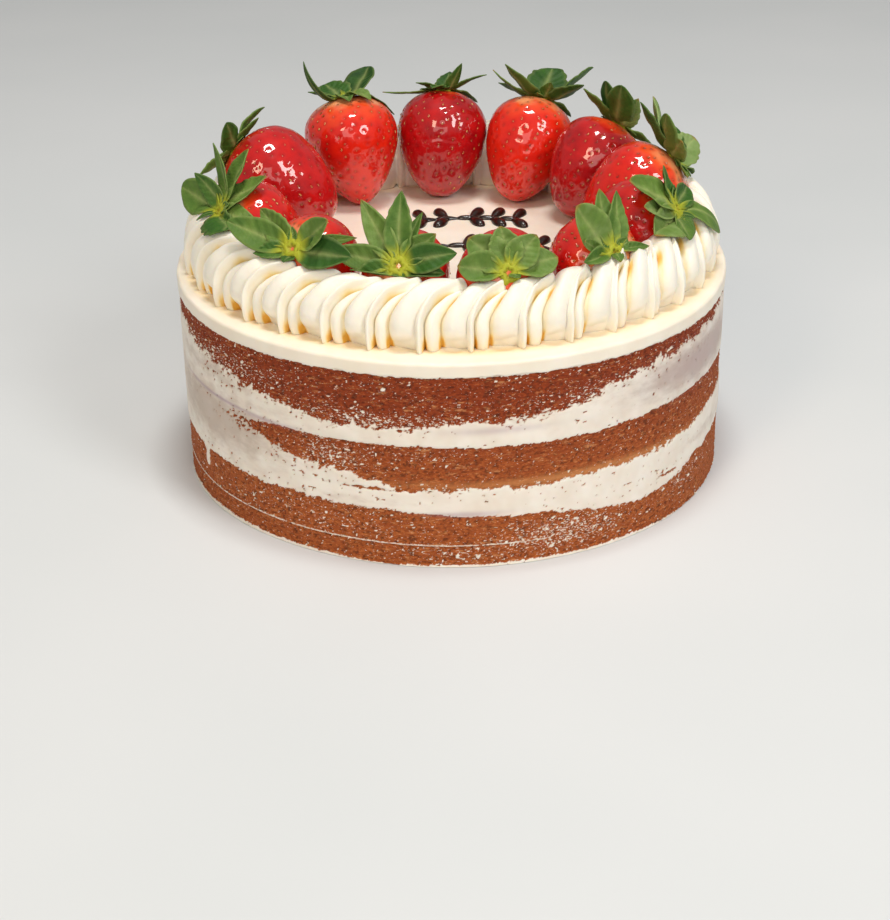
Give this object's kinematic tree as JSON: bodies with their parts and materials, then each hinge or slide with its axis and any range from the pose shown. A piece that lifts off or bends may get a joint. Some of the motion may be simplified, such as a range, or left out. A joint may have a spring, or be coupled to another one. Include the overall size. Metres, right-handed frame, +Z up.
{
  "type": "strawberry layer cake",
  "caption": "Round layer cake with a scraped side, cream between the sponge layers, a piped cream border and whole glazed strawberries leaning on it in a ring.",
  "frame": {"origin": "centre of the flat underside of the lowest sponge layer", "axes": "+Z up, -Y towards the front seen in the picture, +X to the right seen from the front"},
  "size_m": [0.197, 0.1979, 0.1304],
  "materials": {
    "sponge": "baked brown sponge cake, cut side, dry and open",
    "filling": "cream filling, smooth, satin",
    "coat": "smoothed cream coat, satin",
    "border": "piped buttercream, satin",
    "berry": "ripe strawberry under a clear glaze, glossy",
    "leaf": "fresh strawberry leaf, soft sheen"
  },
  "bodies": {
    "root": {"sponge_base": "sponge", "filling_thin": "filling", "sponge_low": "sponge", "filling_low": "filling", "sponge_middle": "sponge", "filling_high": "filling", "sponge_high": "sponge", "top_coat": "coat", "cream_border": "border", "strawberry_front_left": "berry", "strawberry_front_right": "berry", "strawberry_right_front": "berry", "strawberry_right": "berry", "strawberry_right_back": "berry", "strawberry_back_right": "berry", "strawberry_back_mid_right": "berry", "strawberry_back": "berry", "strawberry_back_mid_left": "berry", "strawberry_back_left": "berry", "strawberry_left": "berry", "strawberry_left_front": "berry", "leaves_front_left": "leaf", "leaves_front_right": "leaf", "leaves_right_front": "leaf", "leaves_right": "leaf", "leaves_right_back": "leaf", "leaves_back_right": "leaf", "leaves_back_mid_right": "leaf", "leaves_back": "leaf", "leaves_back_mid_left": "leaf", "leaves_back_left": "leaf", "leaves_left": "leaf", "leaves_left_front": "leaf"}
  },
  "joints": []
}
